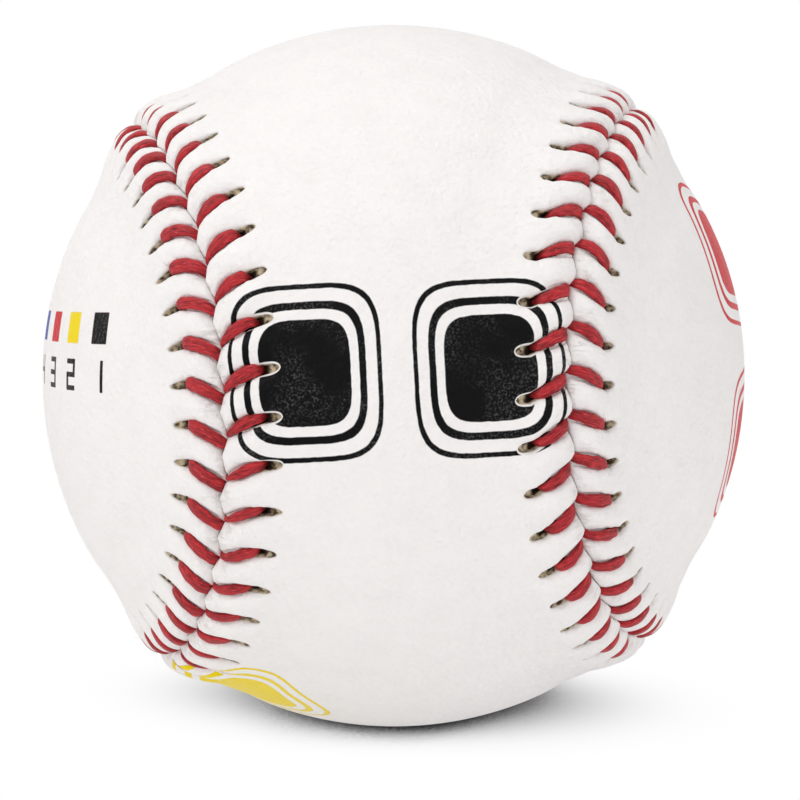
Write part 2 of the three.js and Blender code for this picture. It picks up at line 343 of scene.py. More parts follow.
# %% Rows, columns and rings of a panel
JOINT_HALF = 0.02
ROLL_RADIUS = 0.42
FOOT = 9.6
FIELD_START = FOOT + 0.9
FIELD_RING = 432
INNER_RING = 216
RING_RADIUS = seam_length / (2 * math.pi)

GROOVE_STEPS = np.array([0.26, 0.55, 0.78, 0.92, 1.0, 1.09, 1.24, 1.55, 2.1])
SLIT_STEPS = np.array([0.13, 0.23, 0.29, 0.34, 0.40, 0.50, 0.66, 0.92, 1.36])


def columns_at(across, side):
    """Columns of one row. They gather at the edges of the grooves, and further out at the slits."""
    stitch = np.arange(STITCHES)[:, None]
    out = smooth(across, 2.7, 3.3)
    groove = GROOVE_STEPS[None, :] * channel_half(stitch, across, side)
    half_steps = (groove * (1 - out) + SLIT_STEPS * out) / stitch_pitch
    middle = np.zeros((STITCHES, 1))
    steps = np.concatenate([-half_steps[:, ::-1], middle, half_steps, middle + 0.5], axis=1)
    return (stitch + steps).ravel()


roll_angles = np.radians([0, 18, 36, 54, 72, 90])
wall_rows = [(JOINT_HALF, COVER_THICKNESS - 0.05), (JOINT_HALF, 0.85)]
roll_rows = [
    (JOINT_HALF + ROLL_RADIUS * (1 - math.cos(angle)), ROLL_RADIUS * (1 - math.sin(angle)))
    for angle in roll_angles
]
face_rows = [
    (across, 0)
    for across in (
        0.80, 1.1, 1.45, 1.85, 2.25, 2.65, 3.0, 3.25, 3.4, 3.52, 3.66, 3.85, 4.08, 4.3, 4.5,
        4.64, 4.76, 4.86, 4.96, 5.06, 5.16, 5.28, 5.45, 5.75, 6.2, 6.8, 7.6, 8.5, FOOT,
    )
]
rows = np.array(wall_rows + roll_rows + face_rows)
print(f"{len(rows)} rows of {len(columns_at(FOOT, 1))} columns beside the seam")


def join_rings(first, first_shares, second, second_shares):
    """Triangles between two closed rings, led by their shares. Shares have one more entry."""
    triangles = []
    i = 0
    j = 0
    while i < len(first) or j < len(second):
        a = first[i % len(first)]
        b = second[j % len(second)]
        next_first = first_shares[i + 1] if i < len(first) else math.inf
        next_second = second_shares[j + 1] if j < len(second) else math.inf
        if next_first <= next_second:
            i += 1
            triangles.append((a, first[i % len(first)], b))
        else:
            j += 1
            triangles.append((a, second[j % len(second)], b))
    return triangles


def ring_from(corners, shares, tip):
    """A row's corners from the share "tip" on, and their shares, which have one more entry."""
    first = int(np.argmax(shares >= tip))
    turned = np.roll(shares, -first) + np.roll(np.arange(len(shares)) < first, -first)
    return np.roll(corners, -first), np.append(turned, shares[first] + 1)


def band(first, second):
    """Quads between two closed rings of equally many corners."""
    return np.stack([first, np.roll(first, -1), np.roll(second, -1), second], axis=1)


# %% Field inside a ring


def field_of(points, ring, steps):
    """New points and faces that close a panel's ring, which starts at one of the panel's ends."""
    half = len(ring) // 2
    left = points[ring[1:half]]
    right = points[ring[:half:-1]]
    angle = np.arccos(np.clip((unit(left) * unit(right)).sum(-1), -1, 1))[:, None, None]
    share = (np.arange(1, steps) / steps)[None, :, None]
    between = left[:, None] * np.sin((1 - share) * angle) + right[:, None] * np.sin(share * angle)
    first_new = len(points)
    fresh = np.arange(first_new, first_new + (half - 1) * (steps - 1)).reshape(half - 1, steps - 1)
    rungs = np.column_stack([ring[1:half], fresh, ring[:half:-1]])
    quads = np.stack([rungs[:-1, :-1], rungs[1:, :-1], rungs[1:, 1:], rungs[:-1, 1:]], axis=-1)
    ends = [(ring[0], rungs[0, j], rungs[0, j + 1]) for j in range(steps)]
    ends += [(rungs[-1, j], ring[half], rungs[-1, j + 1]) for j in range(steps)]
    return unit(between).reshape(-1, 3), quads.reshape(-1, 4), ends


def seam_distance(directions):
    """Distance along the surface from each direction to the middle of the seam, in millimetres."""
    seam = seam_point(arc_parameters[::8])
    nearest = np.concatenate([(part @ seam.T).max(axis=1) for part in np.array_split(directions, 20)])
    return np.arccos(np.clip(nearest, -1, 1)) * BALL_RADIUS


def out_of_round(points):
    """The same points on a ball that is a few hundredths of a millimetre out of round."""
    x, y, z = unit(points).T
    swell = 0.035 * np.sin(4.1 * x + 2.3 * z + 1) + 0.03 * np.sin(5.3 * y - 3.1 * x)
    swell += 0.02 * np.sin(9 * z + 4 * y)
    return points * (1 + swell / BALL_RADIUS)[:, None]


# %% Build the two cover panels


def cover_panel(name, side, tip):
    """One panel of leather. Its ends touch the seam at the share "tip" and half the seam further on."""
    column = np.array([columns_at(row, side) for row in rows[:, 0]])
    across, below = (np.broadcast_to(part[:, None], column.shape) for part in rows.T)
    share = share_at(column, across, side)
    cut = slit_cut(column, across, side)
    edge_distance = slit_distance(column, across, side)
    lip = SLIT_LIP * hump(edge_distance - 0.14, 0.16)
    bulge = smooth(np.abs(column - np.rint(column)), 0.2, 0.42)
    drop = below * np.where(below > ROLL_RADIUS, 1, 1 - 0.45 * bulge)
    height = leather_height(column, across, side) - drop - SLIT_DEPTH * cut + lip
    face = beside_seam(share, side * across + seam_wander(share, across), height)
    grid = np.arange(column.size).reshape(column.shape)
    quads = [band(grid[i], grid[i + 1]) for i in range(len(rows) - 1)]
    points = [face.reshape(-1, 3)]
    triangles = []
    inside_quads = []
    inside_triangles = []
    count = column.size

    # Outer field
    ring_shares = tip + np.arange(FIELD_RING + 1) / FIELD_RING
    ring = count + np.arange(FIELD_RING)
    ring_height = leather_height(0.5, FIELD_START, side)
    points.append(beside_seam(ring_shares[:-1], side * FIELD_START, ring_height))
    triangles += join_rings(*ring_from(grid[-1], share[-1], tip), ring, ring_shares)
    count += FIELD_RING
    fresh, field_quads, ends = field_of(np.concatenate(points), ring, 40)
    points.append(fresh * (BALL_RADIUS + ridge_foot(seam_distance(fresh)))[:, None])
    quads.append(field_quads)
    triangles += ends
    count += len(fresh)

    # Inner face, which is seen only when the ball is opened
    inner_shares = tip + np.arange(INNER_RING + 1) / INNER_RING
    last = None
    for across_inner in (1.2, 4.0, 7.0, FOOT):
        ridge = SEAM_RISE * (1 - smooth(across_inner, 3.0, RIDGE_END))
        inner = count + np.arange(INNER_RING)
        points.append(beside_seam(inner_shares[:-1], side * across_inner, ridge - COVER_THICKNESS))
        count += INNER_RING
        if last is None:
            inside_triangles += join_rings(*ring_from(grid[0], share[0], tip), inner, inner_shares)
        else:
            inside_quads.append(band(last, inner))
        last = inner
    fresh, field_quads, ends = field_of(np.concatenate(points), last, 20)
    points.append(fresh * (BALL_RADIUS - COVER_THICKNESS))
    inside_quads.append(field_quads)
    inside_triangles += ends

    # Corners go round the other way on the inner face, and on the panel across the seam
    all_quads, all_triangles = (
        np.concatenate([outer[:, ::side], inner[:, ::-side]])
        for outer, inner in (
            (np.concatenate(quads), np.concatenate(inside_quads)),
            (np.array(triangles), np.array(inside_triangles)),
        )
    )
    placed = out_of_round(np.concatenate(points))
    turns = 2 * math.pi * share
    values = {
        key: np.append(near_seam, np.full(len(placed) - column.size, elsewhere))
        for key, near_seam, elsewhere in (
            ("slit", cut, 0), ("rim", np.clip(edge_distance, -0.2, 0.6), 0.6),
            ("ring_x", np.cos(turns) * RING_RADIUS, 0), ("ring_y", np.sin(turns) * RING_RADIUS, 0),
            ("joint", below, 0), ("seam", across, FOOT),
        )
    }
    return make_piece(name, placed, all_quads, all_triangles, values)


cover_a = cover_panel("cover_leather_a", 1, 0.25)
cover_b = cover_panel("cover_leather_b", -1, 0.0)

# %% [markdown]
# Two lacing threads hold the panels together. Each one comes up through a slit, lies flat on the
# leather, dives between the panels, and runs hidden under the other panel to its next slit. So each
# lacing is one closed tube with a flat section. Its path is read from the same columns as the
# leather, and its section is wide on the face and squeezed small in the slit and in the joint.

# %% Stations of one stitch
THREAD_THICKNESS = 0.58
THREAD_SLIDE = 0.13
HIDDEN_RUN = 36.22 - BALL_RADIUS

# Across the seam, above the face, and share of the groove's width, from the slit to the joint
face_stations = np.array([
    (3.66, -1.40, 0.50), (3.62, -1.05, 0.58), (3.59, -0.70, 0.72), (3.56, -0.38, 0.88),
    (3.50, -0.10, 0.98), (3.40, 0.09, 1.00), (3.25, 0.18, 1.00), (3.06, 0.23, 1.00),
    (2.86, 0.26, 1.00), (2.64, 0.29, 1.00), (2.42, 0.31, 1.00), (2.18, 0.33, 1.00),
    (1.94, 0.35, 1.00), (1.70, 0.36, 1.00), (1.46, 0.36, 1.00), (1.23, 0.36, 1.00),
    (1.01, 0.36, 1.00), (0.80, 0.34, 1.00), (0.60, 0.30, 1.00), (0.42, 0.22, 0.99),
    (0.28, 0.08, 0.96), (0.17, -0.13, 0.90), (0.10, -0.40, 0.82), (0.05, -0.74, 0.72),
    (0.01, -1.14, 0.62),
])
hidden_shares = np.array([0.04, 0.14, 0.28, 0.43, 0.58, 0.73, 0.86, 0.95])
rings_per_stitch = len(face_stations) + len(hidden_shares)
print(f"{rings_per_stitch} rings of the lacing's tube at each stitch")


def lacing_path(first_side):
    """Middle points, widths and side of every ring of one lacing, stitch by stitch."""
    places = np.zeros((STITCHES, rings_per_stitch, 3))
    widths = np.full((STITCHES, rings_per_stitch), 0.6)
    on_face = np.zeros((STITCHES, rings_per_stitch))
    count = len(face_stations)
    for start, side in ((0, first_side), (1, -first_side)):
        stitch = np.arange(start, STITCHES, 2)[:, None]
        station = face_stations[:, 0][None, :]
        across = station - exit_shift(stitch, side) * smooth(station, 1.4, 3.6)
        middle = np.sin(math.pi * np.clip(across / 4.2, 0, 1))
        bow = 0.07 * by_hand("bow", side, stitch) * middle / seam_length
        slide = THREAD_SLIDE * (1 - across / 1.8) / seam_length
        share = share_at(stitch, across, side) + bow + slide
        lift = face_stations[:, 1] - 0.04 * side + 0.03 * by_hand("lift", side, stitch) * middle
        height = leather_height(stitch, across, side) + lift
        places[start::2, :count] = beside_seam(share, side * across + seam_wander(share, across), height)
        spread = 1 + 0.07 * by_hand("width", side, stitch)
        groove = 2 * channel_half(stitch, np.minimum(across, 3.0), side)
        widths[start::2, :count] = face_stations[:, 2] * spread * groove * 0.98
        on_face[start::2, :count] = side
        next_across = face_stations[0, 0] - exit_shift(stitch + 1, -side)
        next_share = share_at(stitch + 1, next_across, -side)
        hidden_share = share[:, -1:] + (next_share - share[:, -1:]) * hidden_shares
        hidden_across = -side * next_across * hidden_shares
        places[start::2, count:] = beside_seam(hidden_share, hidden_across, HIDDEN_RUN)
    return places.reshape(-1, 3), widths.ravel(), on_face.ravel()


def eased(values, times):
    """A closed row of values with each one drawn towards its two neighbours."""
    for _ in range(times):
        values = (np.roll(values, 1, axis=0) + 2 * values + np.roll(values, -1, axis=0)) / 4
    return values


# %% Build the two lacings
SECTION_POINTS = 22
SECTION_POWER = 0.75


def lacing(name, first_side, seed):
    """One lacing as a closed tube. Its section is flat, slightly ridged and squarer than an ellipse."""
    places, widths, on_face = lacing_path(first_side)
    places = out_of_round(eased(places, 1))
    draw = np.random.default_rng(seed)
    rings = len(places)
    tangent = unit(np.roll(places, -1, axis=0) - np.roll(places, 1, axis=0))
    stitch = np.repeat(np.arange(STITCHES), rings_per_stitch)
    along = seam_frame((stitch + 0.5 + FIRST_STITCH) / STITCHES)[1]
    wide = unit(eased(along, 2))
    deep = unit(np.cross(tangent, wide))
    twist = np.repeat(draw.normal(0, 0.05, STITCHES), rings_per_stitch)[:, None]
    turned = wide * np.cos(twist) + deep * np.sin(twist)
    deep = deep * np.cos(twist) - wide * np.sin(twist)
    steps = np.linalg.norm(np.roll(places, -1, axis=0) - places, axis=1)
    run = np.concatenate([[0], np.cumsum(steps)[:-1]])
    angle = np.linspace(0, 2 * math.pi, SECTION_POINTS, endpoint=False)
    circle = (np.cos(angle), np.sin(angle))
    flat_x, flat_y = (np.sign(part) * np.abs(part) ** SECTION_POWER for part in circle)
    edge = 1 + 0.05 * eased(draw.normal(0, 1, (rings, 1)), 1) * np.ones(SECTION_POINTS)
    edge += 0.035 * eased(draw.normal(0, 1, (rings, SECTION_POINTS)), 1)
    x = flat_x * edge * widths[:, None] / 2
    plies = 0.018 * np.cos(5 * math.pi * x / widths[:, None] + 1.1 * run[:, None])
    y = flat_y * (THREAD_THICKNESS / 2 + plies)
    points = places[:, None] + turned[:, None] * x[..., None] + deep[:, None] * y[..., None]
    grid = np.arange(points[..., 0].size).reshape(rings, SECTION_POINTS)
    quads = np.concatenate([band(ring, after) for ring, after in zip(grid, np.roll(grid, -1, axis=0))])
    values = {"thread_x": x.ravel(), "thread_y": y.ravel(), "thread_run": np.repeat(run, SECTION_POINTS)}
    piece = make_piece(name, points.reshape(-1, 3), quads, values=values)
    print(f"{name}: {run[-1] / 1000:.2f} m of thread")
    return piece, places, turned, deep, widths, on_face


lacing_a, *path_a = lacing("lacing_a", 1, 21)
lacing_b, *path_b = lacing("lacing_b", -1, 22)

# %% [markdown]
# Waxed thread still sheds a little fluff. Very fine hairs stand along the strokes and catch the
# light at their edges. Each hair is a tapering tube with three sides, bent in two places, so they
# stay real geometry at a hundredth of the cost of a hair system.

# %% Fine hairs on the lacing
HAIRS_PER_STROKE = 4
HAIR_RADIUS = 0.014


def fluff(name, path, seed):
    """Short fine hairs standing on the visible strokes of one lacing."""
    places, turned, deep, widths, on_face = path
    draw = np.random.default_rng(seed)
    visible = np.flatnonzero((on_face != 0) & (widths > 0.8))
    chosen = draw.choice(visible, STITCHES * HAIRS_PER_STROKE)
    count = len(chosen)
    top = deep[chosen] * on_face[chosen][:, None]
    offset = draw.uniform(-0.5, 0.5, (count, 1)) * widths[chosen][:, None]
    root = places[chosen] + turned[chosen] * offset + top * THREAD_THICKNESS * 0.35
    lean = unit(draw.normal(0, 1, (count, 3)) + 0.25 * top + np.sign(offset) * turned[chosen])
    curl = draw.normal(0, 0.5, (count, 3))
    length = draw.uniform(0.2, 0.55, (count, 1))
    points = []
    for step, radius in ((0, 1.0), (0.35, 0.9), (0.7, 0.7), (1.0, 0.35)):
        middle = root + (lean + curl * step * step) * length * step + top * 0.12 * step
        for corner in (0, 2 * math.pi / 3, 4 * math.pi / 3):
            ring = top * math.cos(corner) + turned[chosen] * math.sin(corner)
            points.append(middle + ring * HAIR_RADIUS * radius)
    points = np.stack(points, axis=1)
    first = np.arange(count)[:, None] * 12
    sides = [(0, 1, 4, 3), (1, 2, 5, 4), (2, 0, 3, 5)]
    quads = [first + ring + np.array(side) for ring in (0, 3, 6) for side in sides]
    ends = [first + np.array(end) for end in ((2, 1, 0), (9, 10, 11))]
    return make_piece(name, points.reshape(-1, 3), np.concatenate(quads), np.concatenate(ends))


fluff_a = fluff("lacing_fluff_a", path_a, 31)
fluff_b = fluff("lacing_fluff_b", path_b, 32)

# %% [markdown]
# Under the leather the ball is wound: coarse grey wool, a white wool layer, grey wool again and a
# fine finishing thread. A winding machine lays one unbroken yarn in great circles whose plane turns a
# little at each pass, so that is the formula used here. A thin closed shell lies just under the
# yarn, and stands for the turns that are buried.

# %% Sizes of the wound layers
YARN_SIDES = 6
STEPS_A_TURN = 56

# The node it stands for, inner and outer radius, radius of the yarn, turns and seed
wound_layers = {
    "first_grey_yarn": ("first_grey_winding", 17.05, 29.90, 0.78, 118, 41),
    "white_yarn": ("white_winding", 30.25, 31.95, 0.46, 150, 42),
    "second_grey_yarn": ("second_grey_winding", 32.30, 34.50, 0.62, 140, 43),
    "finish_thread": ("finish_winding", 34.85, 35.45, 0.20, 230, 44),
}
for name, (_, inner, outer, *_) in wound_layers.items():
    print(f"{name}: {outer - inner:.2f} mm thick, {2 * outer:.1f} mm across")

# %% Shell and unevenness of a layer


def shell_of(inner, outer, steps):
    """Points and quads of a closed hollow shell, each face a cube pressed out into a ball."""
    ticks = np.tan(np.linspace(-math.pi / 4, math.pi / 4, steps + 1))
    u, v = (part.ravel() for part in np.meshgrid(ticks, ticks))
    one = np.ones_like(u)
    sides = ((one, u, v), (-one, v, u), (v, one, u), (u, -one, v), (u, v, one), (v, u, -one))
    grid = np.arange((steps + 1) ** 2).reshape(steps + 1, steps + 1)
    face = np.stack([grid[:-1, :-1], grid[:-1, 1:], grid[1:, 1:], grid[1:, :-1]], axis=-1).reshape(-1, 4)
    directions = np.concatenate([unit(np.stack(side, axis=1)) for side in sides])
    quads = np.concatenate([face + number * grid.size for number in range(6)])
    _, first, same = np.unique(np.round(directions, 6), axis=0, return_index=True, return_inverse=True)
    directions = directions[first]
    quads = same.ravel()[quads]
    points = np.concatenate([directions * outer, directions * inner])
    return points, np.concatenate([quads, quads[:, ::-1] + len(directions)])


def wavy(draw, count, knots):
    """A smooth random row of numbers from about -1 to 1."""
    values = eased(draw.uniform(-1.6, 1.6, knots + 1)[:, None], 1).ravel()
    place = np.linspace(0, knots, count)
    low = np.minimum(place.astype(int), knots - 1)
    part = smooth(place - low, 0, 1)
    return values[low] * (1 - part) + values[low + 1] * part


# %% Wind the layers


def wound_layer(name, inner, outer, radius, turns, seed):
    """One unbroken yarn wound over a shell."""
    draw = np.random.default_rng(seed)
    count = turns * STEPS_A_TURN
    share = np.linspace(0, 1, count)
    theta = share * turns * 2 * math.pi
    tilt = np.arccos(1 - share) + 0.10 * wavy(draw, count, turns * 2)
    passes = 2 * math.pi * share ** 0.5 * (turns / 18) + 0.10 * wavy(draw, count, turns * 2)
    x = np.cos(theta) * np.cos(tilt)
    y = np.sin(theta)
    z = -np.cos(theta) * np.sin(tilt)
    sine = np.sin(passes)
    cosine = np.cos(passes)
    ball = np.stack([x * cosine - y * sine, x * sine + y * cosine, z], axis=1)
    ends = smooth(np.minimum(share, 1 - share) * turns, 0, 0.5)
    buried = radius * (1.7 * (1 - share) + 0.35 * (1 + wavy(draw, count, turns * 5)) + 3 * (1 - ends))
    places = ball * (outer - radius * 1.02 - np.clip(buried, 0, 3 * radius))[:, None]
    tangent = unit(np.gradient(places, axis=0))
    deep = unit(places - tangent * (places * tangent).sum(-1, keepdims=True))
    wide = np.cross(deep, tangent)
    angle = np.linspace(0, 2 * math.pi, YARN_SIDES, endpoint=False)
    thick = radius * (1 + 0.10 * wavy(draw, count, turns * 9))[:, None]
    across = np.cos(angle) * thick
    above = np.sin(angle) * thick * 0.95
    tube = places[:, None] + wide[:, None] * across[..., None] + deep[:, None] * above[..., None]
    shell, shell_quads = shell_of(inner, outer - 2.4 * radius, 24)
    grid = np.arange(count * YARN_SIDES).reshape(count, YARN_SIDES) + len(shell)
    beside = np.roll(grid, -1, axis=1)
    quads = np.stack([grid[:-1], beside[:-1], beside[1:], grid[1:]], axis=-1)
    caps = [(grid[0, 0], grid[0, k + 1], grid[0, k]) for k in range(1, YARN_SIDES - 1)]
    caps += [(grid[-1, 0], grid[-1, k], grid[-1, k + 1]) for k in range(1, YARN_SIDES - 1)]
    run = np.cumsum(np.linalg.norm(np.diff(places, axis=0, prepend=places[:1]), axis=1))
    parts = {"thread_x": across, "thread_y": above, "thread_run": np.repeat(run, YARN_SIDES)}
    values = {key: np.append(np.zeros(len(shell)), part) for key, part in parts.items()}
    all_quads = np.concatenate([shell_quads, quads.reshape(-1, 4)])
    points = np.concatenate([shell, tube.reshape(-1, 3)])
    print(f"{name}: {run[-1] / 1000:.1f} m of yarn in the turns that show")
    return make_piece(name, points, all_quads, caps, values)


wound_pieces = {name: wound_layer(name, *sizes) for name, (_, *sizes) in wound_layers.items()}

# %% [markdown]
# Shader maths is easier to read as sums and products than as boxes and lines. A Wire wraps one
# output socket, and adding or multiplying wires adds the Math nodes. A Finish is one material: its
# node method makes any other node, and its surface method sets the main shader.

# %% Wires


def arithmetic(operation, reflected=False):
    """A method that adds one Math node, with the wire as its first value or, reflected, its second."""

    def method(wire, other):
        values = (other, wire) if reflected else (wire, other)
        return wire.finish.maths(operation, *values)

    return method


class Wire:
    """One output socket that can be used in sums and products."""

    def __init__(self, finish, socket):
        self.finish = finish
        self.socket = socket

    __add__ = arithmetic("ADD")
    __radd__ = arithmetic("ADD", reflected=True)
    __sub__ = arithmetic("SUBTRACT")
    __rsub__ = arithmetic("SUBTRACT", reflected=True)
    __mul__ = arithmetic("MULTIPLY")
    __rmul__ = arithmetic("MULTIPLY", reflected=True)
    __truediv__ = arithmetic("DIVIDE")
    __rtruediv__ = arithmetic("DIVIDE", reflected=True)
    __pow__ = arithmetic("POWER")
    __rpow__ = arithmetic("POWER", reflected=True)

    def step(self, low, high):
        """A soft step of this value, from 0 at low to 1 at high."""
        inputs = {"Value": self, "From Min": low, "From Max": high}
        settings = {"interpolation_type": "SMOOTHSTEP"}
        return self.finish.node("ShaderNodeMapRange", settings, inputs)


# %% Finishes


class Finish:
    """One material, or the tree of a world, and the nodes in it."""

    def __init__(self, name, tree=None):
        if tree is None:
            self.material = bpy.data.materials.new(name)
            self.material.use_nodes = True
            tree = self.material.node_tree
        self.tree = tree
        self.tree.nodes.clear()

    def node(self, kind, settings=None, inputs=None, output=0):
        """A node of a kind, with its settings first and then the values or wires of its sockets."""
        node = self.tree.nodes.new(kind)
        for key, value in (settings or {}).items():
            if key == "stops":
                self.set_stops(node.color_ramp, value)
            else:
                setattr(node, key, value)
        for key, value in (inputs or {}).items():
            socket = self.find(node.inputs, key)
            if isinstance(value, Wire):
                self.tree.links.new(value.socket, socket)
            else:
                socket.default_value = value
        return Wire(self, self.find(node.outputs, output)) if node.outputs else None

    @staticmethod
    def find(sockets, key):
        if isinstance(key, int):
            return sockets[key]
        return next(socket for socket in sockets if key in (socket.identifier, socket.name))

    @staticmethod
    def set_stops(ramp, stops):
        while len(ramp.elements) < len(stops):
            ramp.elements.new(1)
        for element, (place, color) in zip(ramp.elements, stops):
            element.position = place
            element.color = color

    def value(self, name):
        """A number that the mesh holds for each of its points."""
        return self.node("ShaderNodeAttribute", {"attribute_name": name}, output="Fac")

    def mix(self, share, first, second):
        """Colour that goes from the first to the second as the share goes from 0 to 1."""
        inputs = {"Factor_Float": share, "A_Color": first, "B_Color": second}
        return self.node("ShaderNodeMix", {"data_type": "RGBA"}, inputs, "Result_Color")

    def maths(self, operation, *values):
        """One step of arithmetic on numbers or wires."""
        return self.node("ShaderNodeMath", {"operation": operation}, dict(enumerate(values)))

    def vectors(self, operation, *values, output=0):
        """The same for vectors."""
        return self.node("ShaderNodeVectorMath", {"operation": operation}, dict(enumerate(values)), output)

    def vector(self, *parts):
        """A vector of three parts."""
        return self.node("ShaderNodeCombineXYZ", {}, dict(enumerate(parts)))

    def dot(self, first, second):
        """Products of two vectors' parts, added up. With a direction: how far a place lies along it."""
        return self.vectors("DOT_PRODUCT", first, second, output="Value")

    def place(self):
        """The point on the piece in millimetres."""
        point = self.node("ShaderNodeTexCoord", output="Object")
        return self.node("ShaderNodeVectorMath", {"operation": "SCALE"}, {0: point, "Scale": 1 / MM})

    def noise(self, place, scale, detail=2.0, roughness=0.5):
        """Cloudy noise with so many clouds a millimetre, from 0 to 1."""
        inputs = {"Vector": place, "Scale": scale, "Detail": detail, "Roughness": roughness}
        return self.node("ShaderNodeTexNoise", {}, inputs)

    def bump(self, height, distance, strength=1.0):
        """Bumps as high as the distance, in millimetres, where the height is 1."""
        inputs = {"Height": height, "Distance": distance * MM, "Strength": strength}
        return self.node("ShaderNodeBump", {}, inputs)

    def surface(self, **inputs):
        """The main shader. Its sockets are named in small letters with low lines."""
        named = {key.replace("_", " ").title().replace("Ior", "IOR"): value for key, value in inputs.items()}
        shader = self.node("ShaderNodeBsdfPrincipled", {}, named)
        self.node("ShaderNodeOutputMaterial", {}, {"Surface": shader})
        print(f"{self.material.name}: {len(self.tree.nodes)} nodes")
        return self.material


def rgb(red, green, blue):
    """A colour from the 0 to 255 numbers that a paint chart gives, as the renderer needs it."""
    parts = np.array([red, green, blue]) / 255
    linear = np.where(parts <= 0.04045, parts / 12.92, ((parts + 0.055) / 1.055) ** 2.4)
    return (*linear.tolist(), 1.0)


print("middle grey for the renderer is", round(rgb(128, 128, 128)[0], 3))

# %% [markdown]
# The cover is white synthetic leather with a smooth, faintly grained face. Its colour is nearly even,
# but it is a little greyer in the pores and browner in the joint and in fine creases beside it, partly
# dirt and partly painted shade in those hollows. The cut wall of a slit shows the raw khaki inside,
# with brown patches that are partly painted shade, and its depth is painted dark as shade. A picture
# would blur so near, so all of it is noise and formulas in millimetres, led by the numbers that the
# mesh holds.

# %% Cover leather finish
leather_white = rgb(243, 240, 239)
leather_grey = rgb(239, 236, 235)
crease_brown = rgb(176, 152, 130)
# Raw cut leather of a slit, whose brown is partly painted shade, and painted shade deep in the slit
slit_khaki = rgb(220, 205, 176)
slit_brown = rgb(88, 72, 54)
slit_depth_shade = rgb(56, 44, 38)
# How far the ink thins in its painted sheen speckles
INK_SHEEN = 0.08
# Share of brown in the creases beside the seam, which is dirt and painted shade
CREASE_DIRT_AND_SHADE = 0.18
GRAIN_HEIGHT = 0.22


def cover_finish(name, prints):
    """Leather finish of one panel. The prints function adds the panel's ink to it."""
    finish = Finish(name)
    place = finish.place()
    clouds = finish.noise(place, 0.35, 3)
    mottle = finish.noise(place, 2.2, 3)
    pores = finish.node("ShaderNodeTexVoronoi", {"feature": "SMOOTH_F1"}, {"Vector": place, "Scale": 1.7})
    pebble = finish.noise(place, 3.4, 4, 0.6)
    tone = clouds * 0.6 + mottle * 0.4
    color = finish.mix(tone.step(0.35, 0.75), leather_white, leather_grey)

    # Ink, with painted sheen: random speckles where it thins so the white leather shows through, standing in
    # for glints on the grain
    rim = finish.value("rim").step(0.09, 0.14)
    ink_share, ink_color = prints(finish, place)
    ink_share = ink_share * rim
    ink_sheen_speckles = finish.noise(place, 5.0, 3).step(0.45, 0.75) * finish.noise(place, 0.14, 2).step(0.42, 0.62)
    color = finish.mix(ink_share * (1 - ink_sheen_speckles * INK_SHEEN), color, ink_color)

    # Dirt and painted shade beside the seam: brown in fine creases that run with the strokes, and in the
    # joint, more the deeper it goes
    seam = finish.value("seam")
    near = 1 - seam.step(0.4, 2.6)
    ring = finish.vector(finish.value("ring_x") * 2.4, finish.value("ring_y") * 2.4, seam * 0.5)
    fold = finish.noise(ring, 1.0, 4, 0.6)
    crease = 1 - ((fold - 0.5) ** 2 * 700).step(0.0, 1.0)
    crease_dirt_and_shade = near * crease * finish.noise(place, 0.5).step(0.45, 0.65)
    color = finish.mix(crease_dirt_and_shade * CREASE_DIRT_AND_SHADE, color, crease_brown)
    joint = finish.value("joint").step(0.12, 0.9)
    color = finish.mix(joint * (0.2 + clouds * 0.5), color, crease_brown)

    # Slits: raw khaki cut wall with brown patches that are partly painted shade, and painted shade deep
    # inside
    cut = finish.value("slit")
    cut_wall_and_shade = finish.mix(finish.noise(place, 2.0, 2).step(0.36, 0.66), slit_khaki, slit_brown)
    color = finish.mix(cut.step(0.02, 0.2), color, cut_wall_and_shade)
    color = finish.mix(cut.step(0.31, 0.58), color, slit_depth_shade)

    grain = pores * 0.6 + pebble * 0.5 - crease_dirt_and_shade * 0.15
    normal = finish.bump(grain, GRAIN_HEIGHT)
    roughness = 0.5 - ink_share * 0.16 + mottle * 0.08
    return finish.surface(
        base_color=color, roughness=roughness, normal=normal, specular_ior_level=0.05,
        coat_weight=ink_share * 0.06, coat_roughness=0.28,
    )


# %% [markdown]
# Training marks are printed on the leather in glossy ink: rounded ones that show where the fingers
# lie for each throw, and a small legend. Each mark is a plain formula of the point's place on the
# ball, so its edge is sharp at any distance. The legend has a patch of each colour with a plain number.

# %% Marks for the fingers
ink_black = rgb(8, 8, 10)
ink_yellow = rgb(240, 214, 10)
ink_red = rgb(200, 22, 34)
ink_blue = rgb(22, 62, 150)
INK_EDGE = 0.012


def finger_mark(finish, place, center, half_width, half_height, tilt):
    """Share of ink in a finger mark: a filled pad with rounded corners and two outlines round it."""
    center = unit(np.array(center, float))
    up = unit(np.array([0, 0, 1]) - center * center[2])
    right = np.cross(up, center)
    turn = math.radians(tilt)
    wide = (right * math.cos(turn) + up * math.sin(turn)) / half_width
    tall = (up * math.cos(turn) - right * math.sin(turn)) / half_height
    x = finish.dot(place, tuple(wide))
    y = finish.dot(place, tuple(tall))
    wobble = (finish.noise(place, 1.3) - 0.5) * 0.015
    reach = (x * x * x * x + y * y * y * y) ** 0.25 + wobble
    ink = 1 - reach.step(0.60 - INK_EDGE, 0.60)
    for inner, outer in ((0.70, 0.80), (0.93, 1.0)):
        ink = ink + reach.step(inner, inner + INK_EDGE) - reach.step(outer - INK_EDGE, outer)
    return ink * finish.dot(place, tuple(center)).step(1, 2)


def pair_of_marks(finish, place, half_width, first, second):
    """Two finger marks side by side, each given by its middle and its tilt in degrees."""
    return sum(finger_mark(finish, place, center, half_width, 7.6, tilt) for center, tilt in (first, second))


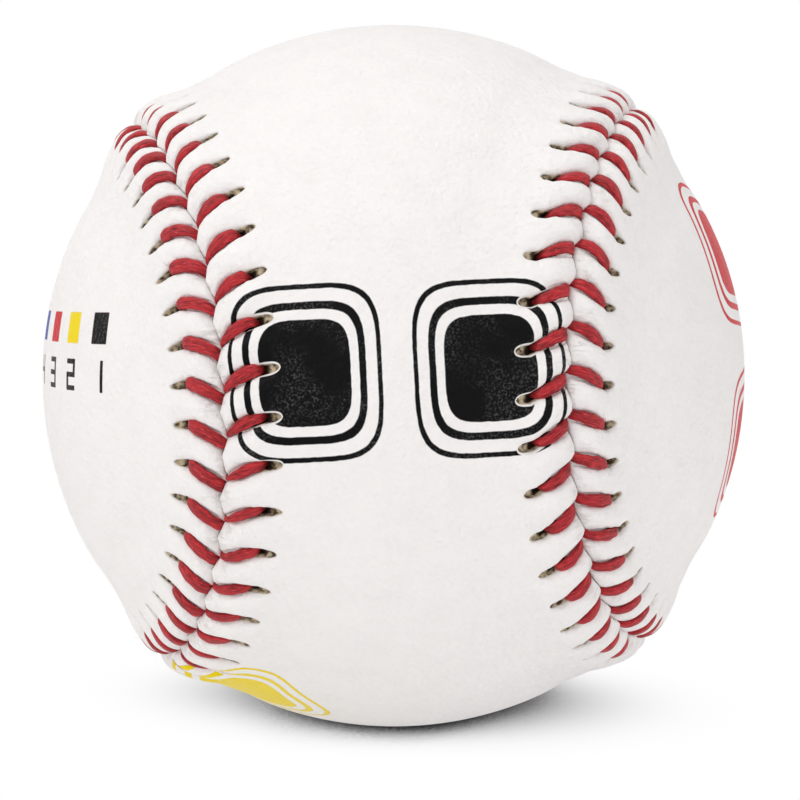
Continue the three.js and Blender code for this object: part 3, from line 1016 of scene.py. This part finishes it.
def prints_a(finish, place):
    """Black marks on the front of panel a, and a yellow one on its lower lobe."""
    black = pair_of_marks(finish, place, 6.5, ((-7.5, -36.2, 3.3), 2), ((8.0, -36.1, 3.2), 0))
    yellow = finger_mark(finish, place, (-15.5, -16.5, -29.5), 7.6, 6.4, 0)
    return black + yellow, finish.mix(yellow, ink_black, ink_yellow)


# %% Legend and marks of panel b
LEGEND_HEIGHT = 7.2
LEGEND_AZIMUTHS = (47.7, 55.9, 64.0, 72.5)
DIGIT_HEIGHT = LEGEND_HEIGHT - 4.4

# Rectangles: the middle's place to the right and up, and half the width and height
PATCH = (0, 0, 1.3, 1.45)
bars = {
    "top": (0, 1.25, 0.95, 0.24), "middle": (0, 0, 0.95, 0.24), "bottom": (0, -1.25, 0.95, 0.24),
    "upper_right": (0.75, 0.62, 0.24, 0.86), "lower_right": (0.75, -0.62, 0.24, 0.86),
    "upper_left": (-0.75, 0.62, 0.24, 0.86), "lower_left": (-0.75, -0.62, 0.24, 0.86),
}
digits = (
    ("upper_right", "lower_right"),
    ("top", "upper_right", "middle", "lower_left", "bottom"),
    ("top", "upper_right", "middle", "lower_right", "bottom"),
    ("upper_left", "upper_right", "middle", "lower_right"),
)


def patch(finish, u, v, middle_u, middle_v, half_u, half_v):
    """Share of ink in an upright rectangle on the unrolled side of the ball, in millimetres."""
    past_u = finish.maths("ABSOLUTE", u - middle_u) - half_u
    past_v = finish.maths("ABSOLUTE", v - middle_v) - half_v
    return 1 - finish.maths("SMOOTH_MAX", past_u, past_v, 0.2).step(-0.04, 0.04)


def prints_b(finish, place):
    """Red marks at the right, blue ones at the back and the legend at the left of panel b."""
    red = pair_of_marks(finish, place, 7.2, ((34.6, -9.6, -7.0), 6), ((32.6, -11.0, 12.0), -6))
    blue = pair_of_marks(finish, place, 6.5, ((7.5, 36.2, 3.3), -2), ((-8.0, 36.1, 3.2), 0))
    ink = red + blue
    color = finish.mix(blue, ink_red, ink_blue)
    turn = finish.maths("ARCTAN2", finish.dot(place, (1, 0, 0)), finish.dot(place, (0, -1, 0)))
    v = finish.dot(place, (0, 0, 1))
    patch_colors = (ink_black, ink_yellow, ink_red, ink_blue)
    for azimuth, patch_color, digit in zip(LEGEND_AZIMUTHS, patch_colors, digits):
        u = (turn + math.radians(azimuth)) * BALL_RADIUS
        square = patch(finish, u, v - LEGEND_HEIGHT, *PATCH)
        number = sum(patch(finish, u, v - DIGIT_HEIGHT, *bars[name]) for name in digit).step(0, 1)
        for shape, shape_color in ((square, patch_color), (number, ink_black)):
            ink = ink + shape
            color = finish.mix(shape, color, shape_color)
    return ink, color


cover_a.data.materials.append(cover_finish("cover_leather_a", prints_a))
cover_b.data.materials.append(cover_finish("cover_leather_b", prints_b))
for piece, node in ((cover_a, "cover_panel_a"), (cover_b, "cover_panel_b")):
    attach(piece, "root")
    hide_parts(node)

# %% [markdown]
# The lacing is waxed cotton. Its fibres lie lengthwise, so the noise that colours and roughens it
# is stretched along the thread. The mesh holds each point's place in the thread's own section, which
# keeps the streaks true through every bend.

# %% Waxed thread finish
thread_light = rgb(188, 36, 44)
thread_dark = rgb(94, 6, 14)
thread_fibre_glint = rgb(226, 110, 108)


def in_thread(finish):
    """A point's two places in the thread's section and its place along the run, in millimetres."""
    return [finish.value(name) for name in ("thread_x", "thread_y", "thread_run")]


def streaks(finish, across, along, detail, roughness):
    """Noise with so many streaks a millimetre across a thread and so many along it."""
    x, y, run = in_thread(finish)
    return finish.noise(finish.vector(x * across, y * across, run * along), 1.0, detail, roughness)


def thread_finish():
    """Finish of the red lacing, with fibres along it."""
    finish = Finish("waxed_red_thread")
    fibres = streaks(finish, 11, 1.5, 3, 0.6)
    plies = streaks(finish, 3.2, 0.35, 2, 0.5)
    tone = fibres * 0.65 + plies * 0.35
    color = finish.mix(tone.step(0.34, 0.60), thread_dark, thread_light)
    # Pale fibres, partly painted glints on the waxed thread
    color = finish.mix(fibres.step(0.58, 0.72) * 0.45, color, thread_fibre_glint)
    normal = finish.bump(fibres * 0.6 + plies * 0.6, 0.07)
    roughness = 0.62 - fibres * 0.12
    return finish.surface(
        base_color=color, roughness=roughness, normal=normal, specular_ior_level=0.3,
        sheen_weight=0.05,
    )


def fluff_finish():
    """Finish of the fine hairs, painted paler than the thread: a painted sheen for the light that such thin
    hairs let through.
    """
    finish = Finish("thread_fluff")
    tone = finish.noise(finish.place(), 0.8)
    # Painted sheen: the hairs are paler than the thread
    color = finish.mix(tone.step(0.35, 0.65), rgb(196, 60, 68), rgb(222, 110, 114))
    return finish.surface(base_color=color, roughness=0.7, specular_ior_level=0.3)


thread_material = thread_finish()
fluff_material = fluff_finish()
for lacing_piece, fluff_piece, node in (
    (lacing_a, fluff_a, "lacing_thread_a"),
    (lacing_b, fluff_b, "lacing_thread_b"),
):
    lacing_piece.data.materials.append(thread_material)
    fluff_piece.data.materials.append(fluff_material)
    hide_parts(node)
    for piece in (lacing_piece, fluff_piece):
        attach(piece, "root")

# %% [markdown]
# Yarn is plies of fibre with a twist. The twist is a row of slanted stripes along the yarn, taken
# from each point's place in the section and its place along the run, and a fine stretched noise
# breaks the stripes into fibres. Wool also has flecks of other shades and a soft sheen at its edges.

# %% Yarn finishes
TURN = 6.283

# Light and dark shade, fibres a millimetre along the yarn, and length of one twist
yarn_looks = {
    "grey_yarn": (rgb(140, 138, 142), rgb(82, 80, 86), 0.42, 3.4),
    "white_yarn": (rgb(236, 230, 216), rgb(190, 182, 166), 0.68, 2.2),
    "finish_yarn": (rgb(240, 236, 224), rgb(206, 200, 184), 1.6, 1.2),
}


def yarn_finish(name, light, dark, fibres_a_millimetre, twist_length):
    """Finish of a yarn, with its twist and its fibres."""
    finish = Finish(name)
    x, y, run = in_thread(finish)
    around = finish.maths("ARCTAN2", y, x)
    turned = finish.maths("SINE", around * 3 + run * (TURN / twist_length))
    fibres = streaks(finish, 6, fibres_a_millimetre, 4, 0.65)
    flecks = finish.noise(finish.place(), 0.9, 3, 0.7)
    tone = fibres * 0.5 + flecks * 0.35 + turned * 0.09 + 0.07
    color = finish.mix(tone.step(0.34, 0.66), dark, light)
    normal = finish.bump(turned * 0.5 + fibres, 0.08)
    return finish.surface(
        base_color=color, roughness=0.92 - fibres * 0.1, normal=normal, specular_ior_level=0.2,
        sheen_weight=0.35, sheen_roughness=0.5,
    )


yarn_materials = {name: yarn_finish(name, *look) for name, look in yarn_looks.items()}
yarn_slots = {
    "first_grey_yarn": "grey_yarn", "white_yarn": "white_yarn",
    "second_grey_yarn": "grey_yarn", "finish_thread": "finish_yarn",
}
for name, piece in wound_pieces.items():
    piece.data.materials.append(yarn_materials[yarn_slots[name]])
    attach(piece, "root")
    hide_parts(wound_layers[name][0])

# %% [markdown]
# The core is a ball of pressed cork in two shells of black rubber with a washer between them, and
# two red rubber halves over it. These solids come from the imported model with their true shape, so
# they only need a finish. Cork is grains of many browns with dark gaps. Moulded rubber is plain, with
# a faint mottle, a few fine specks and a satin face.

# %% Core finishes


def cork_finish():
    """Pressed cork: grains of many browns with dark gaps between them."""
    finish = Finish("pressed_cork")
    place = finish.place()
    warp = finish.node("ShaderNodeTexNoise", {}, {"Vector": place, "Scale": 0.8}, "Color")
    grains = {"Vector": finish.vectors("ADD", place, warp), "Scale": 0.62}
    shades = finish.node("ShaderNodeTexVoronoi", {"feature": "F1"}, grains, "Color")
    gaps = finish.node("ShaderNodeTexVoronoi", {"feature": "DISTANCE_TO_EDGE"}, grains, "Distance")
    tone = finish.dot(shades, (0.4, 0.35, 0.25))
    fine = finish.noise(place, 3.0, 4, 0.6)
    color = finish.mix((tone * 0.8 + fine * 0.3).step(0.2, 0.9), rgb(138, 88, 48), rgb(206, 158, 104))
    gap = 1 - gaps.step(0.01, 0.07)
    color = finish.mix(gap * 0.75, color, rgb(70, 38, 20))
    normal = finish.bump(fine * 0.4 - gap, 0.12)
    roughness = 0.85 - fine * 0.1
    return finish.surface(base_color=color, roughness=roughness, normal=normal, specular_ior_level=0.25)


def rubber_finish(name, light, dark, satin):
    """Moulded rubber with a faint mottle, fine specks and a satin face."""
    finish = Finish(name)
    place = finish.place()
    clouds = finish.noise(place, 0.25, 4, 0.6)
    specks = finish.noise(place, 6.0, 2).step(0.66, 0.78)
    color = finish.mix(clouds.step(0.3, 0.7), dark, light)
    color = finish.mix(specks * 0.3, color, dark)
    normal = finish.bump(clouds + finish.noise(place, 4.0, 3) * 0.4, 0.03)
    return finish.surface(
        base_color=color, roughness=clouds * 0.15 + satin, normal=normal, specular_ior_level=0.4,
    )


cork = cork_finish()
black_rubber = rubber_finish("black_rubber", rgb(34, 34, 36), rgb(24, 24, 26), 0.42)
red_rubber = rubber_finish("red_rubber", rgb(172, 48, 42), rgb(150, 38, 34), 0.48)
core_finishes = {
    "cork_center": cork, "core_shell_upper": black_rubber, "core_shell_lower": black_rubber,
    "core_washer": red_rubber, "core_jacket_upper": red_rubber, "core_jacket_lower": red_rubber,
}
for name, material in core_finishes.items():
    for slot in bpy.data.objects[name].material_slots:
        slot.material = material

# %% [markdown]
# The ball stands on a plain white table. The camera sees the table and the world as pure white,
# while other rays see a pale table lit by the lamps. The dark contact under the ball comes from an
# Ambient Occlusion node: it tells how much of the open sky each point of the table sees. Round it lies
# the wide soft shade that the photo shows, an ellipse that fades outwards.

# %% Table
FLOOR_HEIGHT = -BALL_RADIUS * MM
FLOOR_REACH = 3.0
# Strength of the table's painted glow, a light of its own
TABLE_GLOW = 0.26

# The wide shade, in millimetres and radians
SHADOW_MIDDLE = (-2.8, 5.6)
SHADOW_REACH = 21.3
SHADOW_STRETCH = 1.79
SHADOW_TURN = -0.32
SHADOW_FALL = 1.42


def seen_directly(finish):
    """1 for rays from the camera and from glossy or clear faces, 0 for the light that others gather."""
    kinds = ("Is Camera Ray", "Is Glossy Ray", "Is Transmission Ray")
    return sum(finish.node("ShaderNodeLightPath", output=kind) for kind in kinds).step(0.4, 0.6)


bpy.ops.mesh.primitive_plane_add(size=2 * FLOOR_REACH, location=(0, 0, FLOOR_HEIGHT))
table = bpy.context.object
table.name = "table"
table_finish = Finish("table_white")

# The normal leans to the camera, which makes the contact shade lighter in front than behind
lean = table_finish.vector(0.0, -0.45, 1.0)
sky = table_finish.node(
    "ShaderNodeAmbientOcclusion", {"samples": 32}, {"Distance": 0.4, "Normal": lean}, "AO"
)
shades = (
    (0.185, 0.02), (0.195, 0.45), (0.205, 0.66), (0.22, 0.80), (0.25, 0.90), (0.28, 0.955), (0.314, 1.0),
)
shade_stops = [(share, (level, level, level, 1)) for share, level in shades]
contact = table_finish.node("ShaderNodeValToRGB", {"stops": shade_stops}, {"Fac": sky}, "Color")

# Wide shade: 0 in its middle and 1 far out, along its long way u and its short way v
spot = table_finish.place()
sine = math.sin(SHADOW_TURN)
cosine = math.cos(SHADOW_TURN)
u = (table_finish.dot(spot, (cosine, sine, 0)) - SHADOW_MIDDLE[0]) / SHADOW_REACH
v = (table_finish.dot(spot, (-sine, cosine, 0)) - SHADOW_MIDDLE[1]) / SHADOW_REACH * SHADOW_STRETCH
distance = (u * u + v * v) ** SHADOW_FALL
wide_shade = 1 - table_finish.maths("EXPONENT", distance * -1)
shade = table_finish.vectors("MULTIPLY", contact, table_finish.vector(wide_shade, wide_shade, wide_shade))
seen = table_finish.node("ShaderNodeEmission", {}, {"Color": shade, "Strength": 1.0})
matt = table_finish.node("ShaderNodeBsdfDiffuse", {}, {"Color": (0.74, 0.74, 0.74, 1)})
# Painted glow: the table gives off a little light of its own, which lifts the ball's underside
glow = table_finish.node("ShaderNodeEmission", {}, {"Color": (1, 1, 1, 1), "Strength": TABLE_GLOW})
lit = table_finish.node("ShaderNodeAddShader", {}, {0: matt, 1: glow})
both = table_finish.node("ShaderNodeMixShader", {}, {0: seen_directly(table_finish), 1: lit, 2: seen})
table_finish.node("ShaderNodeOutputMaterial", {}, {"Surface": both})
table.data.materials.append(table_finish.material)
print(f"table {2 * FLOOR_REACH:.0f} m wide, {-FLOOR_HEIGHT / MM:.1f} mm under the ball's middle")

# %% [markdown]
# The light is soft and even. A dim world fills the shadows and is darker behind the ball. A large box
# above and one at the upper left do most of the work, and three weaker ones lift the front and the
# sides. Their power makes white leather as bright as in the photo, just short of pure white.

# %% World
WORLD_BEHIND = 0.19
WORLD_BESIDE = 0.29
WORLD_TILT = 0.09

world = bpy.data.worlds.new("studio")
bpy.context.scene.world = world
world.use_nodes = True
studio = Finish("studio", world.node_tree)
direction = studio.node("ShaderNodeTexCoord", output="Generated")
front = studio.dot(direction, (0, -1, 0))
light = front.step(-0.8, 0.0) * WORLD_BESIDE + front * WORLD_TILT + WORLD_BEHIND
strength = light + seen_directly(studio) * (1 - light)
shown = studio.node("ShaderNodeBackground", {}, {"Color": (1, 1, 1, 1), "Strength": strength})
studio.node("ShaderNodeOutputWorld", {}, {"Surface": shown})
print(f"world strength {WORLD_BEHIND - WORLD_TILT:.2f} behind the ball")

# %% Lamps, which all face the ball
WARM = (1, 0.99, 0.975)
MILD = (1, 0.995, 0.985)

# Place and width in metres, watts and tint
lamps = {
    "key_softbox": ((-0.30, -0.32, 0.42), 0.25, 0.80, WARM),
    "front_softbox": ((-0.03, -0.42, 0.27), 0.12, 0.03, WARM),
    "top_softbox": ((-0.05, 0.05, 0.60), 0.50, 1.42, MILD),
    "right_softbox": ((0.38, -0.24, 0.02), 0.30, 0.56, MILD),
    "left_softbox": ((-0.36, -0.28, 0.02), 0.30, 0.41, MILD),
}
for name, (place, width, watts, tint) in lamps.items():
    lamp = bpy.data.lights.new(name, "AREA")
    lamp.size = width
    lamp.energy = watts
    lamp.color = tint
    holder = bpy.data.objects.new(name, lamp)
    holder.location = place
    holder.rotation_euler = (-Vector(place)).to_track_quat("-Z", "Y").to_euler()
    bpy.context.scene.collection.objects.link(holder)
    print(f"{name}: {watts} W")

# %% [markdown]
# The camera stands almost level with the ball, a little above its middle and very near, so the
# outline shows less than half of the ball. Its place, turn and lens were fitted to the stitches.

# %% Camera
camera_data = bpy.data.cameras.new("camera")
camera_data.sensor_width = 36
camera_data.lens = 66.62
camera_data.shift_x = 0.00786
camera_data.shift_y = -0.03016
camera = bpy.data.objects.new("camera", camera_data)
bpy.context.scene.collection.objects.link(camera)
right = Vector((0.99940, -0.00576, -0.03400))
up = Vector((0.03434, 0.07729, 0.99642))
back = Vector((-0.00311, -0.99699, 0.07744))
turn = Matrix((right, up, back)).transposed().to_4x4()
camera.matrix_world = Matrix.Translation(Vector((-0.5007, -160.312, 12.452)) * MM) @ turn
bpy.context.scene.camera = camera
bpy.context.scene.view_settings.view_transform = "Standard"
print(f"camera {camera.matrix_world.translation.length / MM:.0f} mm from the ball's middle")
